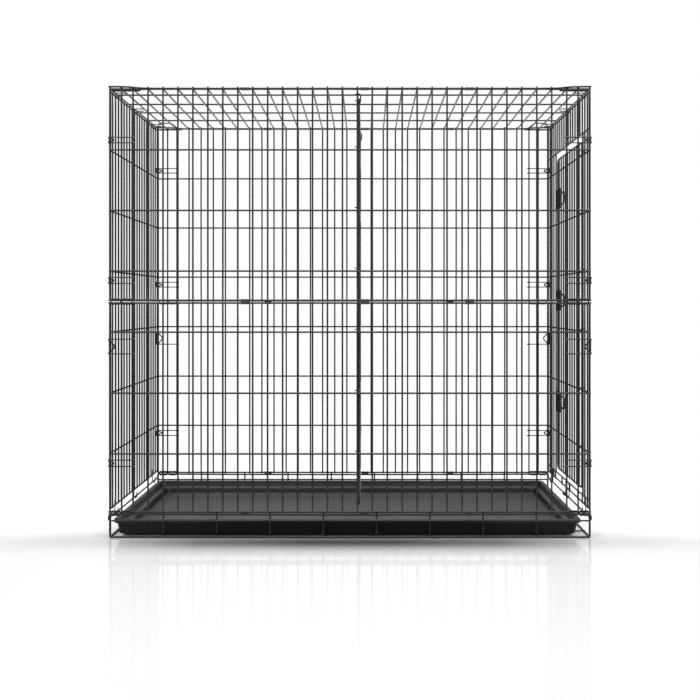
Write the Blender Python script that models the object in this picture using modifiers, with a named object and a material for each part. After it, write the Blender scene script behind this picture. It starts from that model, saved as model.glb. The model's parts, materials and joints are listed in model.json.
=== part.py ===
"""Large wire dog crate: split long walls, hinged end panels, end door, floor tray and divider.

Metres, +Z up. X runs along the crate, Y from the front wall to the back wall, and the origin is
on the ground under the centre of the floor. Every wall is a grid of square wires: the two
directions lie in two layers inside the thickness of a heavier frame wire, and each wire ends
inside that frame.
"""
import math

import bmesh
import bpy
from mathutils import Matrix, Vector

# Overall size, measured between the centre lines of the corner posts
HALF_LENGTH = 0.6096
HALF_DEPTH = 0.3685
TOP_Z = 1.1417

# Wire stock
FRAME = 0.0048          # heavy frame wire
MESH = 0.0021           # mesh wire
HOOK = 0.0018           # hook wire
LAYER = 0.0012          # a mesh layer's distance from the middle of the frame wire
PITCH = 0.038           # spacing of the upright wires

# Heights of the rails and cross wires
SEAM = 0.007            # between the two rails that a clip holds
BASE_SEAM = 0.0053      # the same at the base, where the rails lie almost on each other
FLOOR_Z = FRAME / 2
BASE_SECOND_Z = 0.0443
BASE_RIM_Z = 0.0612
LOWER_BOTTOM_Z = BASE_RIM_Z + BASE_SEAM
LOWER_TOP_Z = 0.597
UPPER_BOTTOM_Z = LOWER_TOP_Z + SEAM
TIP = 0.0055            # what the upright wires stand above the top rails
TOP_HALF_DEPTH = HALF_DEPTH - SEAM
LOWER_CROSS = (0.214, 0.368, 0.523)
UPPER_CROSS = (0.678, 0.832, 0.986)
TOP_CROSS_Y = (-0.260, -0.107, 0.045, 0.197)

# End walls, which stand between the long walls
END_HALF = HALF_DEPTH - 0.0054
END_RAIL_Z = 0.052      # base rail that the end walls hinge on
END_BOTTOM_Z = 0.074
END_TOP_Z = 1.1345

# Rings that hang a panel or the door on a frame wire
RING_INNER = 0.0039
RING_OUTER = 0.0059
RING_WIDTH = 0.003
RING_SIDES = 10
RING_STATIONS = (-7.5 * PITCH, -0.5 * PITCH, 7.5 * PITCH)

# Corner hooks of the long walls: lower and upper leg of each
LOWER_HOOKS = ((0.182, 0.198), (0.468, 0.505))
UPPER_HOOKS = ((0.647, 0.662), (1.004, 1.018))
HOOK_WELD_X = 14.5 * PITCH      # the upright that a hook's legs are welded to
HOOK_EYE_X = HALF_LENGTH + 0.0041
HOOK_OVERHANG = 0.006   # what a leg runs on past its weld
HOOK_TIP_Y = HALF_DEPTH - 0.0125

# Bails of bent wire near the corners of the top panel
BAIL_X = (0.555, 0.600)
BAIL_RISE = 0.0105
BAIL_REACH = 0.034

# Crimped clips along the seams
CLIP_LENGTH = 0.023
CLIP_WALL = 0.001
CLIP_CLEAR = 0.0004
CLIP_SLIT = 0.0006
CLIP_X = (-7 * PITCH, PITCH, 8 * PITCH)

# Doorway in the right end wall, and the door in it
HINGE_Y = -7 * PITCH
KEEP_Y = 0.194
OPENING_BOTTOM_Z = 0.093
OPENING_TOP_Z = 1.042
SILL_STAYS = (HINGE_Y, -0.198, -0.063, 0.072, KEEP_Y)   # short wires under the doorway
DOOR_HINGE_Y = HINGE_Y + 0.013
DOOR_LATCH_Y = 0.160
DOOR_BOTTOM_Z = 0.110
DOOR_TOP_Z = 1.020
DOOR_UPRIGHTS = [n * PITCH + 0.010 for n in range(-6, 4)]
DOOR_RING_RISE = 0.008  # of a door ring above its cross wire

# Slide bolts on the door
LATCH_Z = (0.304, 0.605, 0.906)
PRONG_GAP = 0.034       # between the centre lines of a bolt's two prongs
PRONG = 0.0042
TUBE_HOLE = 0.0060
TUBE_OUTER = 0.0090
PLATE_THICK = 0.0015
PLATE_X = HALF_LENGTH + FRAME / 2 + 0.0004
TUBE_X = PLATE_X + PLATE_THICK + TUBE_OUTER / 2 - 0.0004
PLATE_Y = (0.118, 0.162)
PLATE_HEIGHT = 0.060
GUIDE_TUBE_Y = 0.1415   # where the guide's tubes start, clear of the bolt's crossbar when shut
BOLT_Y = (0.100, 0.163)
KEEPER_Y = (0.186, 0.204)
LUG_OFFSET = 0.0085     # of a bolt's two lugs from its crossbar, along Y
LUG_WIDTH = 0.002
LUG_HEIGHT = 0.008
LUG_PLATE = 0.003
HANDLE_X = TUBE_X + 0.0075
HANDLE_RISE = 0.002
HANDLE_DROP = 0.078
HANDLE_WIDTH = 0.014
HANDLE_THICK = 0.003

# Floor and tray
DROP_X = [side * n * 0.1354 for n in (0.5, 1.5, 2.5, 3.5) for side in (-1, 1)]
FLOOR_RUN_Y = [side * n * 0.092 for n in (1, 2, 3) for side in (-1, 1)]
TRAY_CENTRE_X = -0.007
TRAY_HALF_X = 0.5985
TRAY_HALF_Y = 0.352
TRAY_TOP_Z = 0.0445
TRAY_BOTTOM_Z = FRAME + 0.0006
TRAY_WALL = 0.003
TRAY_CORNER = 0.028
TRAY_RIDGE = 0.0035
PAN_STOP_Y = 0.030
PAN_STOP_WIDTH = 0.060
PAN_STOP_REACH = 0.038

# Divider panel across the cabin
DIVIDER_X = 0.023
DIVIDER_HALF = 0.360
DIVIDER_BOTTOM_Z = 0.084
DIVIDER_TOP_Z = 1.118
DIVIDER_HOOK_Z = (0.090, 0.221, 0.375, 0.530, 0.685, 0.839, 0.993, 1.112)
DIVIDER_HOOK_Y = HALF_DEPTH + FRAME / 2 + 0.0016
DIVIDER_HOOK_X = PITCH / 2 - 0.004

GAP = 0.0003


# ---------------------------------------------------------------- scene and materials

def clear_scene():
    for obj in list(bpy.data.objects):
        bpy.data.objects.remove(obj)


def new_collection(name):
    made = bpy.data.collections.new(name)
    bpy.context.scene.collection.children.link(made)
    return made


def principled(name, colour, roughness, metallic):
    made = bpy.data.materials.new(name)
    made.use_nodes = True
    shader = made.node_tree.nodes["Principled BSDF"]
    shader.inputs["Base Color"].default_value = (*colour, 1.0)
    shader.inputs["Roughness"].default_value = roughness
    shader.inputs["Metallic"].default_value = metallic
    return made


def finish(name, finish_name):
    """A material of its own for one sub-part, in one of the crate's finishes."""
    colour, roughness, metallic = FINISHES[finish_name]
    return principled(name + "_finish", colour, roughness, metallic)


FINISHES = {
    "black_wire": ((0.012, 0.012, 0.013), 0.38, 0.0),
    "black_clip": ((0.020, 0.020, 0.022), 0.45, 0.6),
    "tray_plastic": ((0.045, 0.045, 0.048), 0.55, 0.0),
}


# ---------------------------------------------------------------- shape helpers

def add_box(bm, low, high):
    low, high = Vector(low), Vector(high)
    size = high - low
    place = Matrix.Translation((low + high) / 2) @ Matrix.Diagonal((*size, 1.0))
    bmesh.ops.create_cube(bm, size=1.0, matrix=place)


def add_wire(bm, start, end, width):
    """A straight square wire between two points that differ along one axis only."""
    low = [min(a, b) for a, b in zip(start, end)]
    high = [max(a, b) for a, b in zip(start, end)]
    for k in range(3):
        if high[k] - low[k] < 1e-9:
            low[k] -= width / 2
            high[k] += width / 2
    add_box(bm, low, high)


def add_ring(bm, centre, axis):
    """A wire eye with a square section, turned round an axis."""
    centre = Vector(centre)
    axis = Vector(axis)
    side = axis.orthogonal().normalized()
    corners = [
        (RING_INNER, -RING_WIDTH / 2),
        (RING_OUTER, -RING_WIDTH / 2),
        (RING_OUTER, RING_WIDTH / 2),
        (RING_INNER, RING_WIDTH / 2),
    ]
    verts = [bm.verts.new(centre + side * r + axis * w) for r, w in corners]
    edges = [bm.edges.new((verts[k], verts[k - 1])) for k in range(4)]
    bmesh.ops.spin(
        bm, geom=verts + edges, cent=centre, axis=axis, angle=math.tau,
        steps=RING_SIDES, use_merge=True,
    )


def mesh_object(name, bm, collection):
    bmesh.ops.recalc_face_normals(bm, faces=bm.faces[:])
    mesh = bpy.data.meshes.new(name)
    bm.to_mesh(mesh)
    bm.free()
    made = bpy.data.objects.new(name, mesh)
    collection.objects.link(made)
    return made


def add_boolean(target, operation, tool):
    made = target.modifiers.new(operation.lower(), "BOOLEAN")
    made.operation = operation
    made.object = tool
    made.solver = "EXACT"
    made.use_self = True
    tool.hide_render = True
    tool.display_type = "WIRE"


def wire_part(name, frame_wires, mesh_wires, finish_name="black_wire", extras=None):
    """One welded panel. frame_wires are (start, end) in frame wire, mesh_wires are
    (start, end, width), and extras(bm) adds rings or hooks to the mesh wires."""
    frame_bm = bmesh.new()
    for start, end in frame_wires:
        add_wire(frame_bm, start, end, FRAME)
    made = mesh_object(name, frame_bm, PARTS)
    wires_bm = bmesh.new()
    for start, end, width in mesh_wires:
        add_wire(wires_bm, start, end, width)
    if extras:
        extras(wires_bm)
    tool = mesh_object(name + "_wires", wires_bm, CUTTERS)
    add_boolean(made, "UNION", tool)
    made.data.materials.append(finish(name, finish_name))
    return made


def upright_positions():
    """Where the upright wires of a long wall stand, apart from its two posts."""
    inner = [side * (n + 0.5) * PITCH for n in range(15) for side in (-1, 1)]
    return sorted(inner + [-0.580, 0.580])


# ---------------------------------------------------------------- long walls

def corner_hook_wires(side, hooks):
    """Each hook is a U of thin wire: two legs welded along the outside of the long wall, and an
    eye that reaches round the corner to hold the end wall's post from outside."""
    outer_y = side * (HALF_DEPTH + LAYER)
    inner_y = side * (HALF_DEPTH - LAYER)
    tip_y = side * HOOK_TIP_Y
    out = []
    for end in (-1, 1):
        eye_x = end * HOOK_EYE_X
        weld_x = end * HOOK_WELD_X
        leg_x = end * (HOOK_WELD_X - HOOK_OVERHANG)
        for pair in hooks:
            for z in pair:
                out.append(((leg_x, outer_y, z), (eye_x, outer_y, z), HOOK))
                out.append(((weld_x, outer_y, z), (weld_x, inner_y, z), HOOK))
                out.append(((eye_x, outer_y, z), (eye_x, tip_y, z), HOOK))
            out.append(((eye_x, tip_y, pair[0]), (eye_x, tip_y, pair[1]), HOOK))
    return out


def long_half_panel(name, side, bottom, top, cross, hooks, tip=0.0):
    """Half of a long wall. Its upright wires stand tip above the top rail."""
    y = side * HALF_DEPTH
    outer_y = y + side * LAYER
    inner_y = y - side * LAYER
    reach = HALF_LENGTH + FRAME / 2
    frame_wires = [((-reach, y, z), (reach, y, z)) for z in (bottom, top)]
    frame_wires += [((x, y, bottom), (x, y, top)) for x in (-HALF_LENGTH, HALF_LENGTH)]
    wires = [((x, inner_y, bottom), (x, inner_y, top + tip), MESH) for x in upright_positions()]
    wires += [((-HALF_LENGTH, outer_y, z), (HALF_LENGTH, outer_y, z), MESH) for z in cross]
    wires += corner_hook_wires(side, hooks)
    return wire_part(name, frame_wires, wires)


# ---------------------------------------------------------------- end walls

def end_rings(side, z, stem_z):
    """Rings round an end rail, each on a short stem that runs to its own panel."""
    def add(bm):
        for y in RING_STATIONS:
            add_ring(bm, (side * HALF_LENGTH, y, z), (0, 1, 0))
            near = z + math.copysign((RING_INNER + RING_OUTER) / 2, stem_z - z)
            add_wire(bm, (side * HALF_LENGTH, y, near), (side * HALF_LENGTH, y, stem_z), MESH)
    return add


def end_uprights():
    return [n * PITCH for n in range(-9, 10)]


def plain_end_panel(name, side, bottom, top, cross, extras=None):
    x = side * HALF_LENGTH
    outer_x = x + side * LAYER
    inner_x = x - side * LAYER
    reach = END_HALF + FRAME / 2
    frame_wires = [((x, -reach, z), (x, reach, z)) for z in (bottom, top)]
    frame_wires += [((x, y, bottom), (x, y, top)) for y in (-END_HALF, END_HALF)]
    wires = [((inner_x, y, bottom), (inner_x, y, top), MESH) for y in end_uprights()]
    wires += [((outer_x, -END_HALF, z), (outer_x, END_HALF, z), MESH) for z in cross]
    return wire_part(name, frame_wires, wires, extras=extras)


def door_end_panel(name, seam_z, lintel_z, outer_z, cross, stays, extras=None):
    """Half of the right end wall: an arch round one half of the tall doorway. It runs from the
    seam at mid height to the rail across the doorway's end and the outermost rail beyond it, and
    stays are where the short wires between those two rails stand."""
    x = HALF_LENGTH
    outer_x = x + LAYER
    inner_x = x - LAYER
    reach = END_HALF + FRAME / 2
    strips = ((-END_HALF, HINGE_Y), (KEEP_Y, END_HALF))
    frame_wires = [((x, -reach, outer_z), (x, reach, outer_z))]
    frame_wires += [((x, -END_HALF, lintel_z), (x, END_HALF, lintel_z))]
    frame_wires += [((x, -reach, seam_z), (x, HINGE_Y + FRAME / 2, seam_z))]
    frame_wires += [((x, KEEP_Y - FRAME / 2, seam_z), (x, reach, seam_z))]
    frame_wires += [((x, y, seam_z), (x, y, outer_z)) for y in (-END_HALF, END_HALF)]
    frame_wires += [((x, y, seam_z), (x, y, lintel_z)) for y in (HINGE_Y, KEEP_Y)]
    wires = [((inner_x, y, lintel_z), (inner_x, y, outer_z), MESH) for y in stays]
    for y in end_uprights():
        if any(low + PITCH / 4 < y < high - PITCH / 4 for low, high in strips):
            wires.append(((inner_x, y, seam_z), (inner_x, y, outer_z), MESH))
    for z in cross:
        wires += [((outer_x, low, z), (outer_x, high, z), MESH) for low, high in strips]
    return wire_part(name, frame_wires, wires, extras=extras)


# ---------------------------------------------------------------- top and base

def top_panel():
    """The lid lies between the long walls, its edge wires beside their top rails. A raised bail
    stands on it near each corner."""
    z = TOP_Z
    reach = HALF_LENGTH + FRAME / 2
    edges = (-TOP_HALF_DEPTH, TOP_HALF_DEPTH)
    frame_wires = [((-reach, y, z), (reach, y, z)) for y in edges]
    frame_wires += [((x, edges[0], z), (x, edges[1], z)) for x in (-HALF_LENGTH, HALF_LENGTH)]
    wires = [((x, edges[0], z - LAYER), (x, edges[1], z - LAYER), MESH)
             for x in upright_positions()]
    for y in TOP_CROSS_Y:
        wires.append(((-HALF_LENGTH, y, z + LAYER), (HALF_LENGTH, y, z + LAYER), MESH))

    bail_z = z + BAIL_RISE
    for side in (-1, 1):
        for end in (-1, 1):
            edge_y = side * TOP_HALF_DEPTH
            inner_y = side * (TOP_HALF_DEPTH - BAIL_REACH)
            near_x, far_x = (end * x for x in BAIL_X)
            for x in (near_x, far_x):
                wires.append(((x, edge_y, z), (x, edge_y, bail_z), HOOK))
                wires.append(((x, edge_y, bail_z), (x, inner_y, bail_z), HOOK))
            wires.append(((near_x, inner_y, bail_z), (far_x, inner_y, bail_z), HOOK))

    def rings(bm):
        for side in (-1, 1):
            end_rings(side, END_TOP_Z, TOP_Z)(bm)

    return wire_part("top_panel", frame_wires, wires, extras=rings)


def floor_grid():
    z = FLOOR_Z
    reach = HALF_LENGTH + FRAME / 2
    frame_wires = [((-reach, y, z), (reach, y, z)) for y in (-HALF_DEPTH, HALF_DEPTH)]
    frame_wires += [((x, -HALF_DEPTH, z), (x, HALF_DEPTH, z)) for x in (-HALF_LENGTH, HALF_LENGTH)]
    frame_wires.append(((-HALF_LENGTH, 0, z), (HALF_LENGTH, 0, z)))
    wires = [((x, -HALF_DEPTH, z + LAYER), (x, HALF_DEPTH, z + LAYER), MESH) for x in DROP_X]
    wires += [((-HALF_LENGTH, y, z - LAYER), (HALF_LENGTH, y, z - LAYER), MESH)
              for y in FLOOR_RUN_Y]
    return wire_part("floor_grid", frame_wires, wires)


def base_side(name, side):
    y = side * HALF_DEPTH
    foot_z = FRAME + GAP
    reach = HALF_LENGTH + FRAME / 2
    frame_wires = [((-reach, y, BASE_RIM_Z), (reach, y, BASE_RIM_Z))]
    frame_wires += [((x, y, foot_z), (x, y, BASE_RIM_Z)) for x in (-HALF_LENGTH, HALF_LENGTH)]
    outer_y = y + side * LAYER
    inner_y = y - side * LAYER
    wires = [((-HALF_LENGTH, outer_y, BASE_SECOND_Z), (HALF_LENGTH, outer_y, BASE_SECOND_Z), MESH)]
    wires += [((x, inner_y, foot_z), (x, inner_y, BASE_RIM_Z), MESH) for x in DROP_X]
    return wire_part(name, frame_wires, wires)


def base_end(name, side):
    """The rail that the end wall hinges on, on two posts, with the tray's slot under it."""
    x = side * HALF_LENGTH
    bm = bmesh.new()
    reach = END_HALF + FRAME / 2
    add_wire(bm, (x, -reach, END_RAIL_Z), (x, reach, END_RAIL_Z), FRAME)
    made = mesh_object(name, bm, PARTS)
    posts = bmesh.new()
    for y in (-END_HALF, END_HALF):
        add_wire(posts, (x, y, FRAME + GAP), (x, y, END_RAIL_Z), FRAME)
    add_boolean(made, "UNION", mesh_object(name + "_posts", posts, CUTTERS))
    made.data.materials.append(finish(name, "black_wire"))
    return made


# ---------------------------------------------------------------- clips

def seam_clip(name, place, spacing, turned):
    """A crimped band round two parallel rails that lie one above the other, or side by side where
    the band is turned. The slit of its seam faces into the crate."""
    across = FRAME / 2 + CLIP_CLEAR
    along = spacing / 2 + FRAME / 2 + CLIP_CLEAR
    half_y, half_z = (along, across) if turned else (across, along)
    outer_y, outer_z = half_y + CLIP_WALL, half_z + CLIP_WALL
    inward = -math.copysign(1.0, place[1])
    outline = [
        (outer_y, CLIP_SLIT / 2), (outer_y, outer_z), (-outer_y, outer_z), (-outer_y, -outer_z),
        (outer_y, -outer_z), (outer_y, -CLIP_SLIT / 2), (half_y, -CLIP_SLIT / 2),
        (half_y, -half_z), (-half_y, -half_z), (-half_y, half_z), (half_y, half_z),
        (half_y, CLIP_SLIT / 2),
    ]
    bm = bmesh.new()
    verts = [bm.verts.new((-CLIP_LENGTH / 2, inward * u, v)) for u, v in outline]
    face = bm.faces.new(verts)
    swept = bmesh.ops.extrude_face_region(bm, geom=[face])
    moved = [v for v in swept["geom"] if isinstance(v, bmesh.types.BMVert)]
    bmesh.ops.translate(bm, verts=moved, vec=(CLIP_LENGTH, 0, 0))
    made = mesh_object(name, bm, PARTS)
    made.location = place
    made.data.materials.append(finish(name, "black_clip"))
    return made


def seam_clips():
    top_y = (HALF_DEPTH + TOP_HALF_DEPTH) / 2
    seams = (("base", HALF_DEPTH, (BASE_RIM_Z + LOWER_BOTTOM_Z) / 2, BASE_SEAM, False),
             ("middle", HALF_DEPTH, (LOWER_TOP_Z + UPPER_BOTTOM_Z) / 2, SEAM, False),
             ("top", top_y, TOP_Z, SEAM, True))
    for wall, side in (("front", -1), ("back", 1)):
        for seam, y, z, spacing, turned in seams:
            for end, x in zip(("left", "centre", "right"), CLIP_X):
                seam_clip(f"clip_{wall}_{seam}_{end}", (x, side * y, z), spacing, turned)


# ---------------------------------------------------------------- door and latches

def door():
    """A tall grid in a frame, hung on the doorway's front leg by a ring at each cross wire."""
    x = HALF_LENGTH
    frame_wires = [((x, DOOR_HINGE_Y - FRAME / 2, z), (x, DOOR_LATCH_Y + FRAME / 2, z))
                   for z in (DOOR_BOTTOM_Z, DOOR_TOP_Z)]
    frame_wires += [((x, y, DOOR_BOTTOM_Z), (x, y, DOOR_TOP_Z))
                    for y in (DOOR_HINGE_Y, DOOR_LATCH_Y)]
    wires = [((x - LAYER, y, DOOR_BOTTOM_Z), (x - LAYER, y, DOOR_TOP_Z), MESH)
             for y in DOOR_UPRIGHTS]
    wires += [((x + LAYER, DOOR_HINGE_Y, z), (x + LAYER, DOOR_LATCH_Y, z), MESH)
              for z in LOWER_CROSS + UPPER_CROSS]

    def rings(bm):
        for z in LOWER_CROSS + UPPER_CROSS:
            ring_z = z + DOOR_RING_RISE
            add_ring(bm, (x, HINGE_Y, ring_z), (0, 0, 1))
            near = HINGE_Y + (RING_INNER + RING_OUTER) / 2
            add_wire(bm, (x, near, ring_z), (x, DOOR_HINGE_Y, ring_z), MESH)

    return wire_part("door", frame_wires, wires, extras=rings)


def plate_with_tubes(name, plate_y, tube_y, z_mid):
    """A flat plate that carries two square tubes, one for each prong of a bolt."""
    bm = bmesh.new()
    add_box(bm, (PLATE_X, plate_y[0], z_mid - PLATE_HEIGHT / 2),
            (PLATE_X + PLATE_THICK, plate_y[1], z_mid + PLATE_HEIGHT / 2))
    made = mesh_object(name, bm, PARTS)
    solid = bmesh.new()
    hole = bmesh.new()
    for step in (-0.5, 0.5):
        z = z_mid + step * PRONG_GAP
        add_wire(solid, (TUBE_X, tube_y[0], z), (TUBE_X, tube_y[1], z), TUBE_OUTER)
        past = TUBE_OUTER
        add_wire(hole, (TUBE_X, tube_y[0] - past, z), (TUBE_X, tube_y[1] + past, z), TUBE_HOLE)
    add_boolean(made, "UNION", mesh_object(name + "_tubes", solid, CUTTERS))
    add_boolean(made, "DIFFERENCE", mesh_object(name + "_holes", hole, CUTTERS))
    made.data.materials.append(finish(name, "black_clip"))
    return made


def slide_bolt(name, z_mid):
    """A U of square rod, with a pair of lugs on its crossbar that the handle turns between."""
    y = BOLT_Y[0]
    half = PRONG_GAP / 2
    bar = half + PRONG / 2
    bm = bmesh.new()
    add_wire(bm, (TUBE_X, y, z_mid - bar), (TUBE_X, y, z_mid + bar), PRONG)
    made = mesh_object(name, bm, PARTS)
    prongs = bmesh.new()
    for step in (-half, half):
        add_wire(prongs, (TUBE_X, y, z_mid + step), (TUBE_X, BOLT_Y[1], z_mid + step), PRONG)
    low_x, high_x = TUBE_X - LUG_PLATE / 2, HANDLE_X + HANDLE_THICK
    low_z, high_z = z_mid - LUG_HEIGHT / 2, z_mid + LUG_HEIGHT / 2
    for lug_y in (y - LUG_OFFSET, y + LUG_OFFSET):
        add_box(prongs, (low_x, lug_y - LUG_WIDTH / 2, low_z), (high_x, lug_y + LUG_WIDTH / 2, high_z))
    add_box(prongs, (low_x, y - LUG_OFFSET, low_z), (low_x + LUG_PLATE, y + LUG_OFFSET, high_z))
    add_boolean(made, "UNION", mesh_object(name + "_prongs", prongs, CUTTERS))
    made.data.materials.append(finish(name, "black_clip"))
    return made


def bolt_handle(name, z_mid):
    """A flat paddle that hangs between the bolt's lugs, with its origin on the pivot."""
    bm = bmesh.new()
    add_box(bm, (-HANDLE_THICK / 2, -HANDLE_WIDTH / 2, -HANDLE_DROP),
            (HANDLE_THICK / 2, HANDLE_WIDTH / 2, HANDLE_RISE))
    made = mesh_object(name, bm, PARTS)
    made.location = (HANDLE_X, BOLT_Y[0], z_mid)
    rounding = made.modifiers.new("edges", "BEVEL")
    rounding.width = HANDLE_THICK * 0.3
    rounding.segments = 2
    made.data.materials.append(finish(name, "black_clip"))
    return made


def latch(place, z):
    plate_with_tubes(f"latch_guide_{place}", PLATE_Y, (GUIDE_TUBE_Y, PLATE_Y[1]), z)
    plate_with_tubes(f"latch_keeper_{place}", KEEPER_Y, KEEPER_Y, z)
    slide_bolt(f"latch_bolt_{place}", z)
    bolt_handle(f"latch_handle_{place}", z)


# ---------------------------------------------------------------- tray, stop and divider

def rounded_outline(half_x, half_y, radius, steps=4):
    """The points of a rectangle with arcs at its corners, counterclockwise."""
    points = []
    for corner in range(4):
        sx = (1, -1, -1, 1)[corner]
        sy = (1, 1, -1, -1)[corner]
        for k in range(steps + 1):
            angle = math.pi / 2 * (corner + k / steps)
            points.append((sx * (half_x - radius) + radius * math.cos(angle),
                           sy * (half_y - radius) + radius * math.sin(angle)))
    return points


def tray():
    """A moulded pan: outer wall, rolled rim, inner wall and a raised ridge round its floor. Each
    section is an inset from the rim's outline and a height."""
    floor_z = TRAY_BOTTOM_Z + TRAY_WALL
    sections = (
        (0.0150, TRAY_BOTTOM_Z),
        (0.0060, TRAY_TOP_Z - 0.0060),
        (0.0000, TRAY_TOP_Z - 0.0045),
        (0.0000, TRAY_TOP_Z),
        (0.0090, TRAY_TOP_Z),
        (0.0185, floor_z),
        (0.0400, floor_z),
        (0.0430, floor_z + TRAY_RIDGE),
        (0.0520, floor_z + TRAY_RIDGE),
        (0.0550, floor_z),
    )
    bm = bmesh.new()
    loops = []
    for inset, z in sections:
        outline = rounded_outline(TRAY_HALF_X - inset, TRAY_HALF_Y - inset,
                                  max(TRAY_CORNER - inset, 0.012))
        loops.append([bm.verts.new((x, y, z)) for x, y in outline])
    for lower, upper in zip(loops, loops[1:]):
        for k in range(len(lower)):
            bm.faces.new((lower[k - 1], lower[k], upper[k], upper[k - 1]))
    bm.faces.new(loops[0])
    bm.faces.new(loops[-1])
    made = mesh_object("tray", bm, PARTS)
    made.location.x = TRAY_CENTRE_X
    made.data.materials.append(finish("tray", "tray_plastic"))
    return made


def pan_stop():
    """A bent wire that swivels on the right base rail. It stands up against the end wall while
    the tray is free, and swings over and down in front of the tray's rim to lock it."""
    x = HALF_LENGTH + (RING_INNER + RING_OUTER) / 2
    near_y = PAN_STOP_Y - PAN_STOP_WIDTH / 2
    far_y = PAN_STOP_Y + PAN_STOP_WIDTH / 2
    tip_z = END_RAIL_Z + PAN_STOP_REACH
    bm = bmesh.new()
    add_wire(bm, (x, near_y, tip_z), (x, far_y, tip_z), HOOK)
    made = mesh_object("pan_stop", bm, PARTS)
    legs = bmesh.new()
    for y in (near_y, far_y):
        add_wire(legs, (x, y, END_RAIL_Z), (x, y, tip_z), HOOK)
        add_ring(legs, (HALF_LENGTH, y, END_RAIL_Z), (0, 1, 0))
    add_boolean(made, "UNION", mesh_object("pan_stop_legs", legs, CUTTERS))
    made.data.materials.append(finish("pan_stop", "black_wire"))
    return made


def divider():
    """A loose grid across the cabin. Its hooks reach out round one upright of each long wall."""
    x = DIVIDER_X
    frame_wires = [((x, -DIVIDER_HALF - FRAME / 2, z), (x, DIVIDER_HALF + FRAME / 2, z))
                   for z in (DIVIDER_BOTTOM_Z, DIVIDER_TOP_Z)]
    frame_wires += [((x, y, DIVIDER_BOTTOM_Z), (x, y, DIVIDER_TOP_Z))
                    for y in (-DIVIDER_HALF, DIVIDER_HALF)]
    wires = [((x - LAYER, y, DIVIDER_BOTTOM_Z), (x - LAYER, y, DIVIDER_TOP_Z), MESH)
             for y in end_uprights()]
    wires += [((x + LAYER, -DIVIDER_HALF, z), (x + LAYER, DIVIDER_HALF, z), MESH)
              for z in LOWER_CROSS + UPPER_CROSS]
    for side in (-1, 1):
        tip_y = side * DIVIDER_HOOK_Y
        root_y = side * DIVIDER_HALF
        end_y = side * (DIVIDER_HOOK_Y + HOOK / 2)
        for z in DIVIDER_HOOK_Z:
            wires.append(((x, root_y, z), (x, end_y, z), HOOK))
            wires.append(((x, tip_y, z), (DIVIDER_HOOK_X, tip_y, z), HOOK))
    return wire_part("divider_panel", frame_wires, wires)


# ---------------------------------------------------------------- assembly

clear_scene()
PARTS = new_collection("wire_dog_crate")
CUTTERS = new_collection("cutters")

floor_grid()
base_side("base_front", -1)
base_side("base_back", 1)
base_end("base_left", -1)
base_end("base_right", 1)
tray()
pan_stop()

for wall, wall_side in (("front", -1), ("back", 1)):
    long_half_panel(f"{wall}_lower_panel", wall_side, LOWER_BOTTOM_Z, LOWER_TOP_Z, LOWER_CROSS,
                    LOWER_HOOKS)
    long_half_panel(f"{wall}_upper_panel", wall_side, UPPER_BOTTOM_Z, TOP_Z, UPPER_CROSS,
                    UPPER_HOOKS, TIP)

plain_end_panel("left_lower_panel", -1, END_BOTTOM_Z, LOWER_TOP_Z, LOWER_CROSS,
                end_rings(-1, END_RAIL_Z, END_BOTTOM_Z))
plain_end_panel("left_upper_panel", -1, UPPER_BOTTOM_Z, END_TOP_Z, UPPER_CROSS)
door_end_panel("right_lower_panel", LOWER_TOP_Z, OPENING_BOTTOM_Z, END_BOTTOM_Z, LOWER_CROSS,
               SILL_STAYS, end_rings(1, END_RAIL_Z, END_BOTTOM_Z))
door_end_panel("right_upper_panel", UPPER_BOTTOM_Z, OPENING_TOP_Z, END_TOP_Z, UPPER_CROSS,
               [y for y in end_uprights() if HINGE_Y <= y < KEEP_Y])
top_panel()
seam_clips()
divider()
door()
for latch_place, latch_z in zip(("lower", "middle", "upper"), LATCH_Z):
    latch(latch_place, latch_z)
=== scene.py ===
import json
import math
import random

import bmesh
import bpy
from mathutils import Matrix, Vector


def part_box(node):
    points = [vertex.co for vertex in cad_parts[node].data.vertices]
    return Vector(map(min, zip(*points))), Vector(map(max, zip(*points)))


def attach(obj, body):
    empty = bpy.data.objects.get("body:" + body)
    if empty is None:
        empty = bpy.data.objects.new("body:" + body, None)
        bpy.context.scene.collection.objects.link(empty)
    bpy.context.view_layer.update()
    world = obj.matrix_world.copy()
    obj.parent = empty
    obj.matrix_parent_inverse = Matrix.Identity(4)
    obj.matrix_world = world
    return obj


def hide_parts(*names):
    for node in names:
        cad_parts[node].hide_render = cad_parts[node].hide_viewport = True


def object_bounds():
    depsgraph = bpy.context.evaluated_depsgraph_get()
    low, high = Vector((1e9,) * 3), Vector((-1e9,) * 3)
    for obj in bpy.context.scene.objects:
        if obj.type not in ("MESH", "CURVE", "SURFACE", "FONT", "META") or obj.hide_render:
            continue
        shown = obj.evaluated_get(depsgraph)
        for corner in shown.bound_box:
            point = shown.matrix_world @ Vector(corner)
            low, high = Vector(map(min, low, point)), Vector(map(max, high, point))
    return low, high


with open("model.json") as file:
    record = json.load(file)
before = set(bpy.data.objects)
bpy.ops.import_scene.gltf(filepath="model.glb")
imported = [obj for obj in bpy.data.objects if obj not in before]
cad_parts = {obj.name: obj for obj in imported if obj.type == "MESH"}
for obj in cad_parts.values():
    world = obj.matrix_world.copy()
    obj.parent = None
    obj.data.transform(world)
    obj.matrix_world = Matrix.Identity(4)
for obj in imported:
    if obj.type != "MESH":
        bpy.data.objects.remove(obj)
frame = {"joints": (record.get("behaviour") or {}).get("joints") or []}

cad_low, cad_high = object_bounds()
wander = random.Random(48)

# ---------------------------------------------------------------- studio
# A white sweep seen straight on, a little above the crate's middle. One broad softbox hangs
# overhead towards the camera, and two weaker ones stand at the sides to edge the wires. Black
# flags round the set, open only at the far side, keep the sweep's glare off the coated wire.
EYE_DISTANCE = 3.166
EYE = Vector((0.041, -0.3685 - EYE_DISTANCE, 0.597))

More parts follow.
